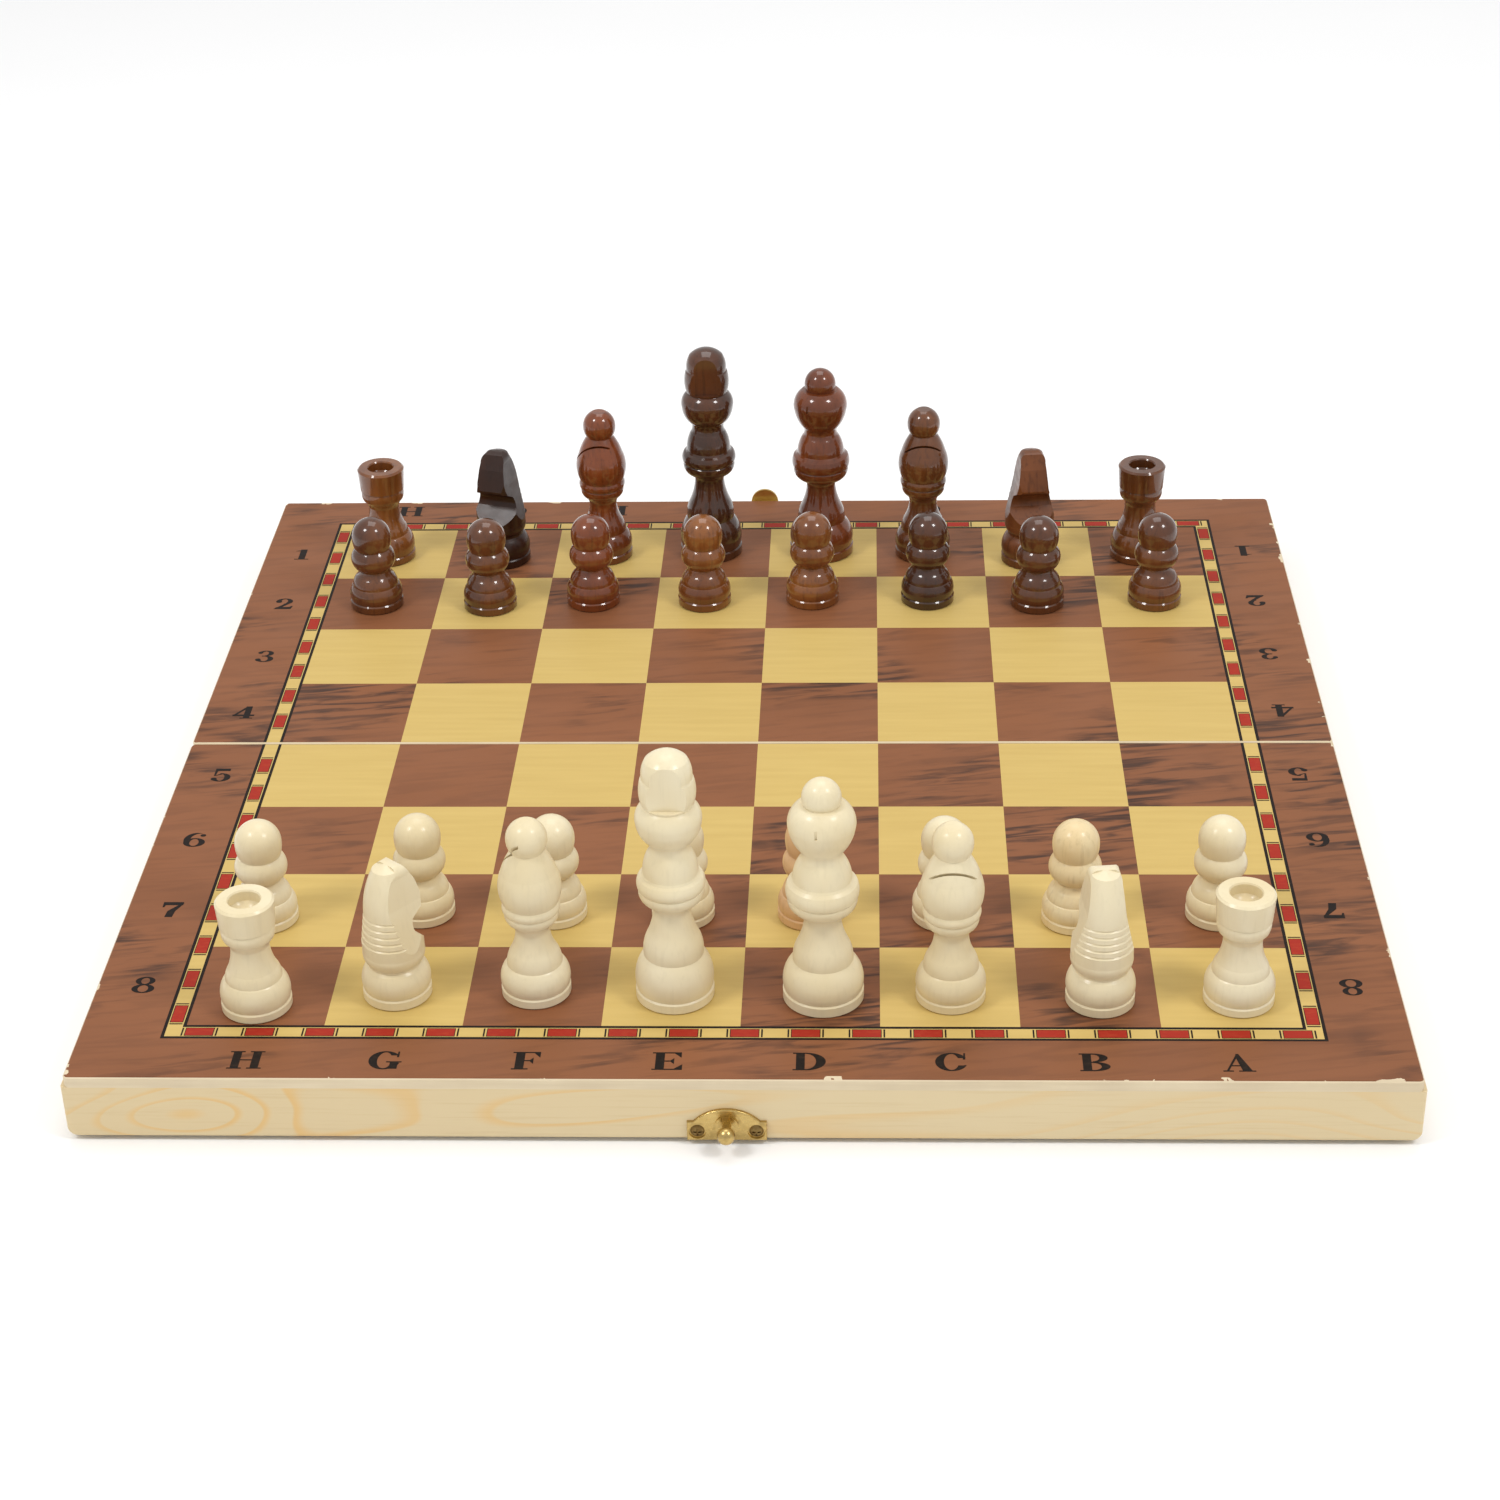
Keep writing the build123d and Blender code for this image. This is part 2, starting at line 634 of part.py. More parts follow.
def make_knight(stand, name):
    """Turned foot and neck, with a head cut to a side outline, tapered sides and a round back."""
    side = Plane(origin=stand.origin, x_dir=stand.y_dir, z_dir=stand.x_dir)
    front = Plane(origin=stand.origin, x_dir=stand.x_dir, z_dir=-stand.y_dir)
    reach = 1.03 * knight_body_r
    back = [(7.8, 12.0, knight_body_r, knight_full_z), *mane_runs()]
    back += [(6.4, 30.0, 3.6, 38.4), (0, knight_top_z + 0.2)]
    with BuildPart() as man:
        with BuildSketch(side):
            with BuildLine():
                Line((-reach, knight_waist_z), (reach, knight_waist_z))
                Line((reach, knight_waist_z), (reach, 14.6))
                Line((reach, 14.6), (2.4, 20.4))
                ThreePointArc((2.4, 20.4), (1.9, 22.4), (2.5, 24.4))
                Line((2.5, 24.4), (6.0, 26.4))
                ThreePointArc((6.0, 26.4), (6.9, 26.8), (7.1, 27.7))
                Line((7.1, 27.7), (5.4, 34.4))
                Line((5.4, 34.4), (3.0, 38.9))
                ThreePointArc((3.0, 38.9), (1.0, knight_top_z), (-1.6, knight_top_z))
                Line((-1.6, knight_top_z), (-reach, knight_top_z))
                Line((-reach, knight_top_z), (-reach, knight_waist_z))
            make_face()
        extrude(amount=reach, both=True)
        with BuildSketch(front):
            with BuildLine():
                Line((0, knight_waist_z), (reach, knight_waist_z))
                Line((reach, knight_waist_z), (reach, 14.6))
                ThreePointArc((reach, 14.6), (6.2, 22.8), (4.9, 28.4))
                Line((4.9, 28.4), (4.0, 36.4))
                ThreePointArc((4.0, 36.4), (3.4, 38.6), (2.2, knight_top_z))
                Line((2.2, knight_top_z), (0, knight_top_z))
                Line((0, knight_top_z), (0, knight_waist_z))
            make_face()
            mirror(about=Plane.YZ)
        extrude(amount=reach, both=True, mode=Mode.INTERSECT)
        with BuildPart(mode=Mode.INTERSECT):
            outline = lathe_outline(stand, knight_outline[-1], back)
            revolve(outline, axis=lathe_axis(stand))
            with BuildSketch(stand.offset(knight_full_z)):
                Circle(knight_body_r)
                with Locations((0, -knight_body_r / 2)):
                    Rectangle(2 * knight_body_r, knight_body_r, mode=Mode.SUBTRACT)
            extrude(amount=knight_top_z)
        turned(stand, knight_outline)
    keep(man, name)


makers = {
    "pawn": make_pawn,
    "rook": make_rook,
    "knight": make_knight,
    "bishop": make_bishop,
    "queen": make_queen,
    "king": make_king,
}


def army(colour, back_row_at, pawn_row_at, back_nudge, pawn_nudge, turns):
    """The sixteen men of one player."""
    for column, kind in enumerate(back_row):
        stand = stand_at(column, back_row_at, back_nudge[column], turns[column])
        name = "_".join(word for word in (colour, kind, side_names[column]) if word)
        makers[kind](stand, name)
        stand = stand_at(column, pawn_row_at, pawn_nudge[column], 0)
        make_pawn(stand, f"{colour}_pawn_{column + 1}")


os.makedirs("parts", exist_ok=True)
for side, half in ((-1, "near"), (1, "far")):
    panel(side, f"{half}_panel")
    outer_rail(side, f"{half}_outer_rail")
    side_rail(-1, side, f"{half}_left_rail")
    side_rail(1, side, f"{half}_right_rail")
    seam_rail(side, f"{half}_seam_rail")
    hinge_screws(side, f"{half}_hinge_screws")
    for x, hand in zip(hinge_places(), ("left", "right")):
        hinge_leaf(x, side, f"{hand}_hinge_{half}_leaf")
for x, hand in zip(hinge_places(), ("left", "right")):
    hinge_pin(x, f"{hand}_hinge_pin")
latch_plate(-1, "catch_plate")
plate_screws(-1, "catch_screws")
knob()
latch_plate(1, "latch_plate")
plate_screws(1, "latch_screws")
rivet()
latch_arm()
army("white", 0, 1, white_back_nudge, white_pawn_nudge, white_back_turn)
army("black", 7, 6, black_back_nudge, black_pawn_nudge, black_back_turn)
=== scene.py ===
import json
import math

import bpy
from mathutils import Matrix, Vector
from mathutils.geometry import delaunay_2d_cdt


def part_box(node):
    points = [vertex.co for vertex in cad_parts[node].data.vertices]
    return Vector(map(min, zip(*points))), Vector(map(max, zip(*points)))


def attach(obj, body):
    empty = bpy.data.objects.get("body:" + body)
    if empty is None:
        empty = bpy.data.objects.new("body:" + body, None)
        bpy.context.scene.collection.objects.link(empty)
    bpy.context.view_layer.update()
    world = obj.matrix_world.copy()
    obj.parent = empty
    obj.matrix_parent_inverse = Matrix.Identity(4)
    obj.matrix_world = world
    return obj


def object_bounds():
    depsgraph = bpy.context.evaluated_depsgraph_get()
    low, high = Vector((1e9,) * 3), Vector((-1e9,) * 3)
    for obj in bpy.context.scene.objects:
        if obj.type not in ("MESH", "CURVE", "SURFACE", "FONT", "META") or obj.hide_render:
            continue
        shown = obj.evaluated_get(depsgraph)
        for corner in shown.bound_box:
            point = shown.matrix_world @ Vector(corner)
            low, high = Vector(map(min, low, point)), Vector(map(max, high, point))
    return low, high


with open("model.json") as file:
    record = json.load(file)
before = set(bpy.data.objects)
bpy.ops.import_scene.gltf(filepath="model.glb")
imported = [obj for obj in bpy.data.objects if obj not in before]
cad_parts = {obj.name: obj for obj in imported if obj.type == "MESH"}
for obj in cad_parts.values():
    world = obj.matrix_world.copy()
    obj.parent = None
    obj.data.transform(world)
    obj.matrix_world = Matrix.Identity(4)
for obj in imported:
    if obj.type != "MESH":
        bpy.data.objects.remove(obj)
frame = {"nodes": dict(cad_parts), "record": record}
cad_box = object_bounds()

# Lengths are written in millimetres and multiplied by mm, because the frame is in metres.
mm = 0.001
board_low, board_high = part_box("near_panel")
top_z = board_high[2]
half_w = board_high[0]
half_d = -board_low[1]

# The print on the board, sizes in millimetres. Places are measured from the middle of the seam.
square = 35.5
print_margin = 0.7  # bare wood beside the seam
squares_x = 4 * square
squares_y = print_margin + 4 * square
band_w = 5.75  # yellow band round the squares, with its two lines
band_middle = 2.9
band_line = 0.85
red_long = 7.3
red_wide = 3.3
red_line = 0.18  # dark line round a red mark
bar_wide = 0.42  # the two thin bars beside it
bar_long = 3.4
bar_off = red_long / 2 + 0.75
end_pitch = 15.48
end_shift = 1.17
end_marks_each_side = 9
side_pitch = 15.6
side_first = 13.0
side_marks = 9
ink_t = 0.04  # ink over the panel face
letter_h = 7.3
letter_w = 8.1
letter_y = 157.5
digit_x = 156.8


def srgb(red, green, blue):
    """The linear colour of an 8-bit screen colour."""
    parts = [v / 255 for v in (red, green, blue)]
    return (*[v / 12.92 if v < 0.04 else ((v + 0.055) / 1.055) ** 2.4 for v in parts], 1)


# ---------------------------------------------------------------- materials

class Paint:
    """One procedural material, with short calls that add nodes to it and link them."""

    def __init__(self, name):
        self.material = bpy.data.materials.new(name)
        self.material.use_nodes = True
        self.tree = self.material.node_tree
        self.shader = self.tree.nodes["Principled BSDF"]
        self.place = self.tree.nodes.new("ShaderNodeTexCoord").outputs["Object"]

    def node(self, kind, inputs, **settings):
        made = self.tree.nodes.new(kind)
        for key, value in settings.items():
            setattr(made, key, value)
        for key, value in inputs.items():
            self.feed(made.inputs[key], value)
        return made

    def feed(self, socket, value):
        if isinstance(value, bpy.types.NodeSocket):
            self.tree.links.new(value, socket)
        else:
            socket.default_value = value

    def math(self, operation, *values):
        made = self.node("ShaderNodeMath", dict(enumerate(values)), operation=operation)
        return made.outputs[0]

    def mix(self, share, low, high):
        made = self.node("ShaderNodeMix", {0: share, 6: low, 7: high}, data_type="RGBA")
        return made.outputs[2]

    def step(self, value, low, high, to_low=0.0, to_high=1.0):
        """to_low below low and to_high above high, with a soft change between."""
        inputs = {"Value": value, "From Min": low, "From Max": high, "To Min": to_low, "To Max": to_high}
        return self.node("ShaderNodeMapRange", inputs, interpolation_type="SMOOTHSTEP").outputs[0]

    def noise(self, scale, stretch=(1, 1, 1), detail=2.0, warp=0.0, turn=0.0, shift=(0, 0, 0)):
        """Noise in 0 to 1, with scale in features per metre."""
        turned = {"Vector": self.place, "Rotation": (0, 0, turn), "Location": shift}
        where = self.node("ShaderNodeMapping", turned).outputs[0]
        where = self.node("ShaderNodeVectorMath", {0: where, 1: stretch}, operation="MULTIPLY").outputs[0]
        inputs = {"Vector": where, "Scale": scale, "Detail": detail, "Distortion": warp}
        return self.node("ShaderNodeTexNoise", inputs).outputs[0]

    def split(self):
        return self.node("ShaderNodeSeparateXYZ", {0: self.place}).outputs

    def distance(self, centre, stretch):
        """Distance from a point in metres, along axes that are stretched."""
        kind = "ShaderNodeVectorMath"
        moved = self.node(kind, {0: self.place, 1: centre}, operation="SUBTRACT").outputs[0]
        moved = self.node(kind, {0: moved, 1: stretch}, operation="MULTIPLY").outputs[0]
        return self.node(kind, {0: moved}, operation="LENGTH").outputs["Value"]

    def bump(self, height, strength, depth):
        inputs = {"Height": height, "Strength": strength, "Distance": depth}
        self.feed(self.shader.inputs["Normal"], self.node("ShaderNodeBump", inputs).outputs[0])

    def surface(self, **values):
        for key, value in values.items():
            self.feed(self.shader.inputs[key.replace("_", " ")], value)
        return self.material


def plain_wood(paint):
    """Bare pale sheet wood, for the edges and undersides of the printed panels."""
    layers = paint.noise(900, (0.05, 0.05, 1), detail=3)
    blotch = paint.noise(60, detail=3)
    wood = paint.mix(layers, srgb(206, 188, 155), srgb(226, 211, 182))
    return paint.mix(paint.step(blotch, 0.3, 0.8, 0, 0.4), wood, srgb(196, 178, 150))


def printed_wood(paint):
    """The brown of the border and dark squares: warm brown with patches of dark slanting streaks."""
    streak = paint.noise(330, (0.13, 1, 1), detail=5, warp=0.7, turn=-0.16)
    patch = paint.noise(21, (0.7, 1.2, 1), detail=4, warp=0.5)
    tone = paint.noise(28, (0.5, 1.3, 1), detail=4)
    brown = paint.mix(tone, srgb(146, 93, 60), srgb(119, 74, 47))
    fine = paint.step(streak, 0.42, 0.66)
    brown = paint.mix(paint.math("MULTIPLY", fine, 0.22), brown, srgb(90, 56, 38))
    dark = paint.math("MULTIPLY", fine, paint.step(patch, 0.5, 0.66, 0, 0.85))
    return paint.mix(dark, brown, srgb(52, 37, 31)), streak


def printed_board():
    paint = Paint("printed_board")
    x, y, z = paint.split()
    off_x = paint.math("ABSOLUTE", x)
    off_y = paint.math("ABSOLUTE", y)
    far = paint.math("GREATER_THAN", y, 0)
    row_place = paint.math("MULTIPLY_ADD", far, -2 * print_margin * mm, y)
    column = paint.math("DIVIDE", paint.math("ADD", x, squares_x * mm), square * mm)
    row = paint.math("DIVIDE", paint.math("ADD", row_place, squares_y * mm), square * mm)
    cells = paint.node("ShaderNodeCombineXYZ", {"X": column, "Y": row, "Z": 0.5}).outputs[0]
    light_square = paint.node("ShaderNodeTexChecker", {"Vector": cells, "Scale": 1}).outputs["Fac"]
    outside = paint.math(
        "MAXIMUM",
        paint.math("SUBTRACT", off_x, squares_x * mm),
        paint.math("SUBTRACT", off_y, squares_y * mm),
    )
    in_band = paint.math("GREATER_THAN", outside, 0)
    in_print = paint.math("LESS_THAN", outside, band_w * mm)
    yellow_share = paint.math("MULTIPLY", paint.math("MAXIMUM", light_square, in_band), in_print)
    brown, streak = printed_wood(paint)
    grain = paint.noise(420, (0.08, 1, 1), detail=4)
    yellow = paint.mix(grain, srgb(207, 179, 108), srgb(191, 162, 93))
    inked = paint.mix(yellow_share, brown, yellow)
    # The print stops at the eased edge, at the bare line along the seam and where the edge is chipped.
    edge = paint.math(
        "MINIMUM",
        paint.math("SUBTRACT", half_w, off_x),
        paint.math("SUBTRACT", half_d, off_y),
    )
    chip = paint.step(paint.noise(130, detail=5, warp=0.5), 0.6, 0.7, 0.15 * mm, 1.5 * mm)
    kept = paint.math("GREATER_THAN", edge, chip)
    kept = paint.math("MULTIPLY", kept, paint.math("GREATER_THAN", off_y, print_margin * mm))
    kept = paint.math("MULTIPLY", kept, paint.math("GREATER_THAN", z, top_z - 0.2 * mm))
    colour = paint.mix(kept, plain_wood(paint), inked)
    smudge = paint.noise(45, detail=4)
    paint.bump(paint.math("ADD", streak, paint.math("MULTIPLY", kept, 0.5)), 0.25, 0.05 * mm)
    rough = paint.step(smudge, 0.2, 0.8, 0.38, 0.55)
    return paint.surface(Base_Color=colour, Roughness=rough, Specular_IOR_Level=0.2)


def pine(name, along_x, shift, swirls=()):
    """Pale pine whose growth rings are the contour lines of a stretched noise field.

    A swirl is a centre, a reach, the height that it adds to the field, and the squeeze of its axes.
    """
    paint = Paint(name)
    stretch = (0.16, 1, 1) if along_x else (1, 0.16, 1)
    fine_stretch = (0.03, 1, 1) if along_x else (1, 0.03, 1)
    contours = 8
    field = paint.noise(42, stretch, detail=1.0, warp=0.25, shift=shift)
    for centre, reach, height, squeeze in swirls:
        away = paint.distance(centre, squeeze)
        field = paint.math("ADD", field, paint.step(away, 0, reach, height, 0))
    ring = paint.math("FRACT", paint.math("MULTIPLY", field, contours))
    rise = paint.step(ring, 0.6, 0.9)
    late = paint.math("MULTIPLY", rise, paint.step(ring, 1.0, 0.9))
    strength = paint.step(paint.noise(9, shift=shift), 0.35, 0.65, 0.25, 0.75)
    pore = paint.noise(1500, fine_stretch, detail=3)
    tone = paint.noise(14, stretch, detail=3, shift=shift)
    pale = paint.mix(tone, srgb(221, 205, 168), srgb(209, 184, 137))
    pale = paint.mix(paint.step(pore, 0.5, 0.75, 0, 0.25), pale, srgb(196, 168, 122))
    colour = paint.mix(paint.math("MULTIPLY", late, strength), pale, srgb(220, 178, 108))
    paint.bump(paint.math("ADD", pore, paint.math("MULTIPLY", late, 0.6)), 0.3, 0.06 * mm)
    rough = paint.step(pore, 0.3, 0.8, 0.42, 0.6)
    return paint.surface(Base_Color=colour, Roughness=rough)


def lacquer(name, light, deep, grain_share, coat, coat_rough):
    """Turned wood under gloss lacquer, with its grain running up the piece."""
    paint = Paint(name)
    figure = paint.noise(150, (1, 1, 0.18), detail=3, warp=0.8)
    vein = paint.noise(900, (1, 1, 0.06), detail=4)
    tone = paint.noise(38, (1, 1, 0.6), detail=3)
    colour = paint.mix(paint.step(tone, 0.3, 0.7), light, deep)
    colour = paint.mix(paint.step(figure, 0.48, 0.72, 0, grain_share), colour, deep)
    line = paint.step(vein, 0.5, 0.7, 0, grain_share * 0.6)
    colour = paint.mix(line, colour, tuple(0.55 * v for v in deep[:3]) + (1,))
    ripple = paint.noise(260, (1, 1, 1.6), detail=3)
    paint.bump(paint.math("ADD", ripple, paint.math("MULTIPLY", vein, 0.25)), 0.35, 0.12 * mm)
    rough = paint.step(ripple, 0.25, 0.75, 0.28, 0.45)
    return paint.surface(Base_Color=colour, Roughness=rough, Specular_IOR_Level=0.2,
                         Coat_Weight=coat, Coat_Roughness=coat_rough)


def brass(name, light, deep, rough_low, rough_high, dull):
    paint = Paint(name)
    scratch = paint.noise(2400, (0.15, 1, 0.6), detail=3)
    blot = paint.noise(420, detail=4, warp=0.6)
    colour = paint.mix(scratch, light, deep)
    colour = paint.mix(paint.step(blot, 0.45, 0.75, 0, dull), colour, srgb(112, 84, 44))
    paint.bump(scratch, 0.2, 0.03 * mm)
    rough = paint.step(blot, 0.3, 0.75, rough_low, rough_high)
    return paint.surface(Base_Color=colour, Roughness=rough, Metallic=1.0)


def ink(name, colour, worn):
    paint = Paint(name)
    wear = paint.noise(900, (0.4, 1, 1), detail=4)
    shade = paint.mix(paint.step(wear, 0.45, 0.75, 0, 0.45), colour, worn)
    paint.bump(wear, 0.2, 0.03 * mm)
    rough = paint.step(wear, 0.3, 0.7, 0.4, 0.55)
    return paint.surface(Base_Color=shade, Roughness=rough, Specular_IOR_Level=0.12)


near_knot = ((-0.139, -half_d, 0.008), 0.024, 0.55, (0.6, 0, 1.7))
near_arch = ((0.132, -half_d, -0.004), 0.034, 0.5, (0.5, 0, 1.2))
rail_materials = {
    "near_outer_rail": pine("pine_front", True, (0.31, 0.07, 0.12), (near_knot, near_arch)),
    "far_outer_rail": pine("pine_back", True, (0.77, 0.13, 0.05)),
}
seam_pine = pine("pine_seam", True, (0.11, 0.42, 0.3))
side_pine = pine("pine_side", False, (0.21, 0.64, 0.02))
board_print = printed_board()
brass_plate = brass("brass_plate", srgb(208, 182, 120), srgb(184, 154, 92), 0.22, 0.42, 0.35)
brass_arm = brass("brass_arm", srgb(222, 194, 118), srgb(204, 170, 92), 0.3, 0.4, 0.08)
brass_screw = brass("brass_screw", srgb(160, 134, 84), srgb(118, 94, 54), 0.3, 0.5, 0.8)
cream = lacquer("cream_lacquer", srgb(229, 217, 185), srgb(220, 203, 163), 0.12, 0.35, 0.2)
cream_tan = lacquer("cream_lacquer_tan", srgb(224, 194, 152), srgb(212, 172, 126), 0.3, 0.35, 0.2)
cream_gold = lacquer("cream_lacquer_gold", srgb(228, 212, 172), srgb(220, 192, 142), 0.35, 0.35, 0.2)
walnut_dark = lacquer("brown_lacquer_dark", srgb(88, 46, 19), srgb(52, 26, 11), 0.7, 1.0, 0.05)
walnut_cut_dark = lacquer("brown_lacquer_cut_dark", srgb(70, 36, 18), srgb(42, 20, 10), 0.7, 0.35, 0.25)
walnut_cut = lacquer("brown_lacquer_cut", srgb(120, 68, 34), srgb(76, 40, 18), 0.65, 0.35, 0.25)
walnut_red = lacquer("brown_lacquer_red", srgb(130, 64, 24), srgb(86, 38, 11), 0.6, 1.0, 0.05)
walnut_light = lacquer("brown_lacquer_light", srgb(142, 86, 36), srgb(98, 50, 17), 0.6, 1.0, 0.05)
walnut = lacquer("brown_lacquer", srgb(116, 66, 28), srgb(74, 37, 13), 0.65, 1.0, 0.05)
black_ink = ink("black_ink", srgb(26, 19, 16), srgb(58, 42, 32))
red_ink = ink("red_ink", srgb(158, 42, 28), srgb(172, 66, 42))

men_materials = {
    "white_pawn_5": cream_tan,
    "white_pawn_7": cream_gold,
    "black_king": walnut_dark,
    "black_knight_left": walnut_cut_dark,
    "black_knight_right": walnut_cut,
    "black_pawn_6": walnut_dark,
    "black_queen": walnut_red,
    "black_bishop_left": walnut_red,
    "black_pawn_3": walnut_red,
    "black_rook_left": walnut_light,
    "black_pawn_4": walnut_light,
    "black_pawn_5": walnut_light,
}
slot_materials = {
    "printed_board": board_print,
    "brass": brass_plate,
    "brass_screw": brass_screw,
    "cream_lacquer": cream,
    "brown_lacquer": walnut,
}


def node_material(name, slot):
    if slot == "pine":
        return rail_materials.get(name, seam_pine if "seam" in name else side_pine)
    if name == "latch_arm":
        return brass_arm
    return men_materials.get(name, slot_materials[slot])


def soften_edges(man):
    """A small bevel on the sharp cut edges of a man."""
    soften = man.modifiers.new("soft_edges", "BEVEL")
    soften.width = 0.3 * mm
    soften.segments = 2
    soften.limit_method = "ANGLE"
    soften.angle_limit = math.radians(42)
    soften.use_clamp_overlap = True


for row in frame["record"]["subparts"]:
    for place in frame["nodes"][row["node"]].material_slots:
        place.material = node_material(row["node"], row["material_slot"])
    if "knight" in row["node"]:
        soften_edges(frame["nodes"][row["node"]])


# ------------------------------------------------------------ printed letters

def box_shape(x0, y0, x1, y1):
    return [(x0, y0), (x1, y0), (x1, y1), (x0, y1)]


def oval(x, y, rx, ry, steps=28):
    turn = 2 * math.pi / steps
    return [(x + rx * math.cos(k * turn), y + ry * math.sin(k * turn)) for k in range(steps)]


def foot(x0, x1, y, t=0.06):
    """A thin flat serif from x0 to x1, standing on y."""
    return (True, box_shape(x0, y, x1, y + t))


def stem(x, w, serif_left=0.1, serif_right=0.1):
    """A heavy upright stroke with serifs at both ends."""
    bar = (True, box_shape(x, 0, x + w, 1))
    left, right = x - serif_left, x + w + serif_right
    return [bar, foot(left, right, 0), foot(left, right, 0.94)]


def bowl(x, y, rx, ry, heavy, thin):
    """The right half of a ring, with its weight at the side."""
    return [
        (True, [p for p in oval(x, y, rx, ry) if p[0] >= x - 1e-6]),
        (False, [p for p in oval(x, y, rx - heavy, ry - thin) if p[0] >= x - 1e-6]),
    ]


def ring(x, y, rx, ry, heavy, thin):
    return [(True, oval(x, y, rx, ry)), (False, oval(x, y, rx - heavy, ry - thin))]


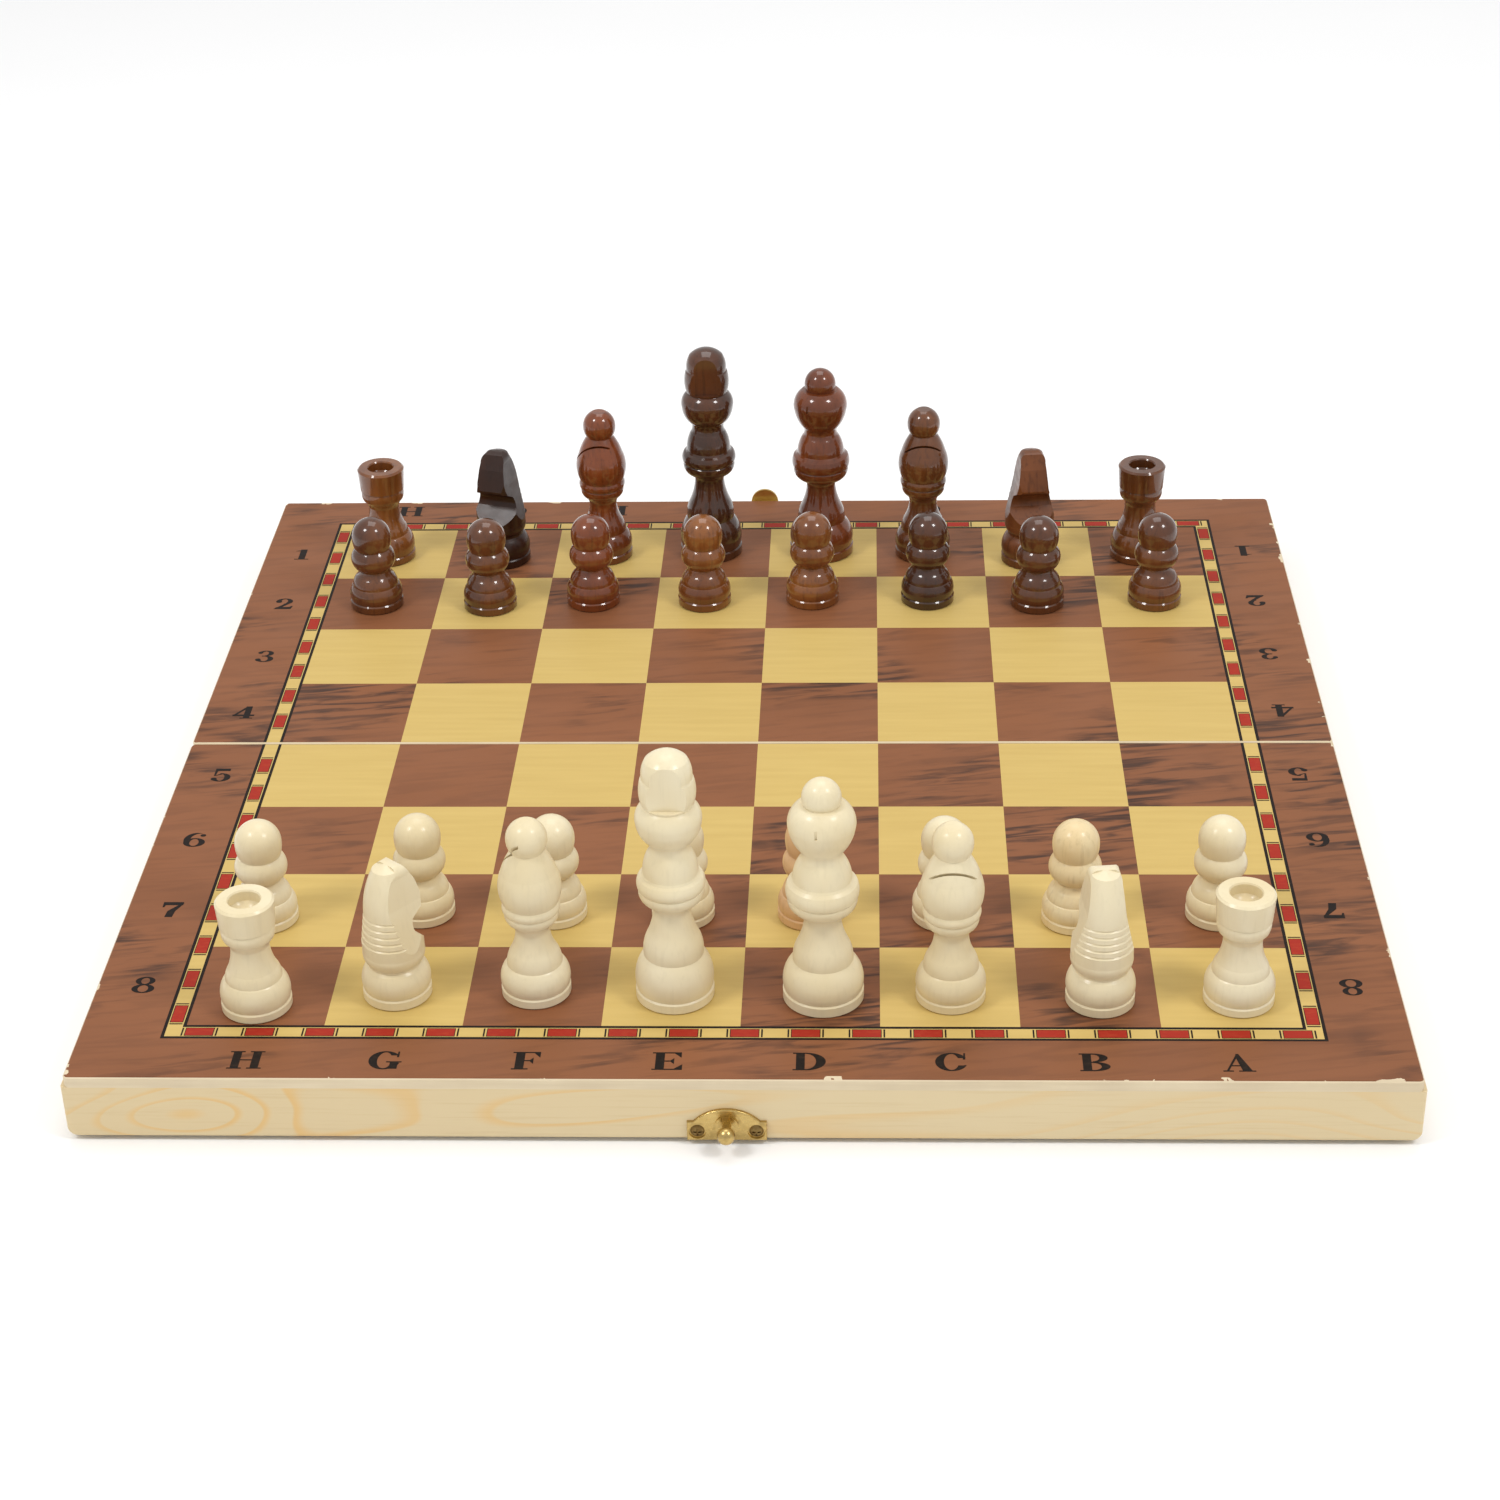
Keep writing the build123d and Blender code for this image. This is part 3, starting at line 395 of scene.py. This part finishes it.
# A glyph is painted in layers of (inked or bare, outline), one over the other, in a box one unit high.
glyphs = {
    "H": stem(0.12, 0.26) + stem(0.74, 0.26) + [foot(0.3, 0.8, 0.47)],
    "G": ring(0.5, 0.5, 0.5, 0.52, 0.27, 0.06)
    + [(False, box_shape(0.62, 0.36, 1.1, 0.78)), (True, box_shape(0.68, 0.02, 0.93, 0.42))]
    + [foot(0.56, 1.04, 0.38), (True, [(0.86, 0.68), (0.93, 0.68), (0.93, 1.0), (0.88, 1.0)])],
    "F": stem(0.12, 0.28, 0.1, 0.14)
    + [foot(0.3, 0.88, 0.94), foot(0.3, 0.68, 0.47), (True, [(0.68, 0.94), (0.88, 0.68), (0.88, 0.94)])]
    + [(True, [(0.54, 0.5), (0.68, 0.32), (0.68, 0.68)])],
    "E": stem(0.12, 0.28)
    + [foot(0.3, 0.92, 0.94), foot(0.3, 0.7, 0.47), foot(0.3, 0.96, 0)]
    + [(True, [(0.7, 0.94), (0.92, 0.7), (0.92, 0.94)]), (True, [(0.7, 0.06), (0.96, 0.06), (0.96, 0.32)])]
    + [(True, [(0.56, 0.5), (0.7, 0.33), (0.7, 0.67)])],
    "D": bowl(0.42, 0.5, 0.62, 0.5, 0.3, 0.06) + stem(0.12, 0.27, 0.1, 0.0)
    + [foot(0.36, 0.45, 0), foot(0.36, 0.45, 0.94)],
    "C": ring(0.52, 0.5, 0.5, 0.52, 0.27, 0.06)
    + [(False, box_shape(0.66, 0.3, 1.1, 0.72))]
    + [(True, [(0.87, 0.64), (0.95, 0.64), (0.95, 1.0), (0.9, 1.0)])]
    + [(True, [(0.66, 0.06), (0.98, 0.32), (0.92, 0.32), (0.66, 0.12)])],
    "B": bowl(0.44, 0.26, 0.52, 0.26, 0.27, 0.06) + bowl(0.44, 0.75, 0.46, 0.25, 0.26, 0.06)
    + stem(0.12, 0.27, 0.1, 0.0) + [foot(0.36, 0.46, 0), foot(0.36, 0.46, 0.94), foot(0.36, 0.5, 0.47)],
    "A": [(True, [(0.12, 0.03), (0.19, 0.03), (0.54, 0.9), (0.5, 1.0)])]
    + [(True, [(0.62, 0.03), (0.92, 0.03), (0.56, 1.0), (0.48, 1.0), (0.45, 0.86)])]
    + [foot(0.02, 0.34, 0), foot(0.5, 1.02, 0), foot(0.3, 0.74, 0.3)],
    "1": stem(0.26, 0.27, 0.16, 0.16)[:2]
    + [(True, [(0.26, 0.8), (0.26, 0.9), (0.42, 1.0), (0.5, 1.0), (0.5, 0.8)])]
    + [(True, [(0.06, 0.84), (0.3, 0.84), (0.4, 0.97), (0.3, 0.94)])],
    "2": ring(0.36, 0.72, 0.34, 0.28, 0.2, 0.06)
    + [(False, box_shape(-0.1, 0.2, 0.36, 0.68)), (True, oval(0.14, 0.7, 0.12, 0.1))]
    + [(True, [(0.02, 0.02), (0.28, 0.1), (0.7, 0.66), (0.5, 0.72), (0.42, 0.5)])]
    + [(True, [(0.02, 0.0), (0.7, 0.0), (0.76, 0.28), (0.7, 0.28), (0.62, 0.2), (0.1, 0.16)])],
    "3": ring(0.36, 0.27, 0.36, 0.27, 0.22, 0.06) + ring(0.36, 0.76, 0.31, 0.24, 0.2, 0.06)
    + [(False, box_shape(-0.1, 0.2, 0.36, 0.88)), (True, oval(0.13, 0.2, 0.11, 0.1))]
    + [(True, oval(0.15, 0.82, 0.1, 0.09)), foot(0.24, 0.44, 0.49)],
    "4": [(True, [(0.0, 0.24), (0.1, 0.24), (0.5, 0.86), (0.46, 1.0)]), (True, box_shape(0.42, 0, 0.66, 1))]
    + [(True, box_shape(0.0, 0.2, 0.82, 0.32)), foot(0.3, 0.78, 0)],
    "5": ring(0.36, 0.32, 0.36, 0.32, 0.22, 0.06)
    + [(False, box_shape(-0.1, 0.2, 0.3, 0.8)), (True, oval(0.13, 0.2, 0.11, 0.1))]
    + [(True, [(0.1, 0.46), (0.16, 0.46), (0.2, 0.86), (0.1, 0.86)]), (True, box_shape(0.1, 0.82, 0.64, 1))]
    + [(True, [(0.1, 0.44), (0.3, 0.58), (0.4, 0.64), (0.4, 0.56), (0.16, 0.44)])],
    "6": [(True, oval(0.44, 0.5, 0.42, 0.5)), (False, oval(0.56, 0.52, 0.32, 0.44))]
    + [(False, box_shape(0.56, 0.3, 1, 0.84)), (True, oval(0.66, 0.82, 0.1, 0.09))]
    + ring(0.42, 0.31, 0.38, 0.31, 0.22, 0.06),
    "7": [(True, box_shape(0.02, 0.8, 0.7, 1))]
    + [(True, [(0.02, 0.66), (0.08, 0.66), (0.12, 0.82), (0.02, 0.82)])]
    + [(True, [(0.2, 0), (0.46, 0), (0.5, 0.4), (0.72, 0.92), (0.66, 0.96), (0.56, 0.82), (0.24, 0.4)])],
    "8": ring(0.37, 0.75, 0.32, 0.25, 0.18, 0.06) + ring(0.37, 0.27, 0.37, 0.27, 0.2, 0.06),
}


def placed(glyph, x, y, flipped):
    """The layers of a glyph in millimetres, centred on a point, and turned end for end if flipped."""
    layers = glyphs[glyph]
    across = [p[0] for _, outline in layers for p in outline]
    middle = (max(0, min(across)) + min(1.04, max(across))) / 2
    sign = -1 if flipped else 1
    return [
        (inked, [(x + sign * letter_w * (u - middle), y + sign * letter_h * (v - 0.5)) for u, v in outline])
        for inked, outline in layers
    ]


def anticlockwise(outline):
    twice_area = sum(a[0] * b[1] - b[0] * a[1] for a, b in zip(outline, outline[1:] + outline[:1]))
    return outline if twice_area > 0 else outline[::-1]


def painted_faces(layers):
    """Flat faces of the inked area: the last layer that covers a place decides it."""
    points, outlines = [], []
    for outline in (anticlockwise(outline) for _, outline in layers):
        outlines.append(list(range(len(points), len(points) + len(outline))))
        points += [Vector(p) for p in outline]
    corners, _, faces, _, _, owners = delaunay_2d_cdt(points, [], outlines, 1, 1e-5)
    kept = [face for face, cover in zip(faces, owners) if cover and layers[max(cover)][0]]
    return corners, kept


def ink_piece(name, groups, material, body):
    """One printed layer on a half: a film of ink that is sunk a little into the panel."""
    corners, faces = [], []
    for layers in groups:
        flat, kept = painted_faces(layers)
        used = sorted({index for face in kept for index in face})
        number = {index: len(corners) + k for k, index in enumerate(used)}
        corners += [(flat[k][0] * mm, flat[k][1] * mm, top_z + ink_t * mm) for k in used]
        faces += [[number[k] for k in face] for face in kept]
    mesh = bpy.data.meshes.new(name)
    mesh.from_pydata(corners, [], faces)
    mesh.materials.append(material)
    piece = bpy.data.objects.new(name, mesh)
    bpy.context.collection.objects.link(piece)
    film = piece.modifiers.new("film", "SOLIDIFY")
    film.thickness = 2 * ink_t * mm
    film.offset = -1
    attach(piece, body)
    return piece


def band_frame(side, outer, inner):
    """A line round three sides of a half, between two distances outside the squares."""
    low, high = print_margin, squares_y
    layers = []
    for inked, off in ((True, outer), (False, inner)):
        y0, y1 = sorted((side * low, side * (high + off)))
        layers.append((inked, box_shape(-squares_x - off, y0, squares_x + off, y1)))
    return layers


def marks(side):
    """Centres of the rectangles in the band of one half, as (x, y, runs along x)."""
    ends = [end_shift + end_pitch * k for k in range(-end_marks_each_side, end_marks_each_side + 1)]
    rows = [side_first + side_pitch * k for k in range(side_marks)]
    found = [(x, side * (squares_y + band_middle), True) for x in ends]
    for edge in (-1, 1):
        found += [(edge * (squares_x + band_middle), side * y, False) for y in rows]
    return found


def mark_box(mark, shift, long, wide):
    x, y, runs_x = mark
    if runs_x:
        return [(True, box_shape(x + shift - long / 2, y - wide / 2, x + shift + long / 2, y + wide / 2))]
    return [(True, box_shape(x - wide / 2, y + shift - long / 2, x + wide / 2, y + shift + long / 2))]


def mark_line(mark):
    """The thin dark line round a red mark."""
    outer = mark_box(mark, 0, red_long + red_line, red_wide + red_line)
    inner = mark_box(mark, 0, red_long - red_line, red_wide - red_line)
    return outer + [(False, outline) for _, outline in inner]


for side, half in ((-1, "near"), (1, "far")):
    black = [band_frame(side, band_line, 0), band_frame(side, band_w, band_w - band_line)]
    for mark in marks(side):
        black += [mark_box(mark, off, bar_wide, bar_long) for off in (-bar_off, bar_off)]
        black.append(mark_line(mark))
    black += [placed(c, (k - 3.5) * square, side * letter_y, side > 0) for k, c in enumerate("HGFEDCBA")]
    for k in range(4):
        y = side * (print_margin + (k + 0.5) * square)
        digit = str(4 - k if side > 0 else 5 + k)  # ranks run from 1 at the far end to 8 at the near one
        black += [placed(digit, -digit_x, y, False), placed(digit, digit_x, y, True)]
    ink_piece(f"{half}_black_print", black, black_ink, f"{half}_half")
    red = [mark_box(mark, 0, red_long - red_line, red_wide - red_line) for mark in marks(side)]
    ink_piece(f"{half}_red_print", red, red_ink, f"{half}_half")


# ------------------------------------------------------- floor, light, camera

def floor():
    low = cad_box[0][2]
    reach = 6.0
    corners = [(x, y, low) for x, y in box_shape(-reach, -reach, reach, reach)]
    mesh = bpy.data.meshes.new("floor")
    mesh.from_pydata(corners, [], [(0, 1, 2, 3)])
    paint = Paint("floor")
    pale = paint.mix(paint.noise(4, detail=2), (0.9, 0.9, 0.9, 1), (0.94, 0.94, 0.94, 1))
    mesh.materials.append(paint.surface(Base_Color=pale, Roughness=0.7))
    plane = bpy.data.objects.new("floor", mesh)
    bpy.context.collection.objects.link(plane)


def look(place, target, roll=0.0):
    """A matrix at a place that looks at a target along its own -Z."""
    facing = (Vector(target) - Vector(place)).to_track_quat("-Z", "Y").to_matrix().to_4x4()
    return Matrix.Translation(place) @ facing @ Matrix.Rotation(roll, 4, "Z")


def softbox(name, place, size, power):
    light = bpy.data.lights.new(name, "AREA")
    light.shape = "SQUARE"
    light.size = size
    light.energy = power
    lamp = bpy.data.objects.new(name, light)
    bpy.context.collection.objects.link(lamp)
    lamp.matrix_world = look(place, (0, 0, 0))


floor()
softbox("left_softbox", (-0.75, -0.45, 1.15), 0.3, 5.5)
softbox("right_softbox", (0.75, -0.45, 1.15), 0.3, 5.5)
softbox("top_softbox", (0, 0.5, 1.5), 0.9, 6)

world = bpy.data.worlds.new("studio")
bpy.context.scene.world = world
world.use_nodes = True
sky = world.node_tree.nodes["Background"].inputs
sky["Color"].default_value = (1, 1, 1, 1)
sky["Strength"].default_value = 0.7
bpy.context.scene.view_settings.view_transform = "Standard"

camera_place = (0.0323, -0.7465, 0.4564)
camera_aim_lift = 0.6 * mm
camera_target = (-0.0022, -0.0054, top_z + camera_aim_lift)
camera_roll = math.radians(-1.43)
view = bpy.data.cameras.new("camera")
view.lens = 70.15
view.sensor_width = 36
camera = bpy.data.objects.new("camera", view)
bpy.context.collection.objects.link(camera)
camera.matrix_world = look(camera_place, camera_target, camera_roll)
bpy.context.scene.camera = camera
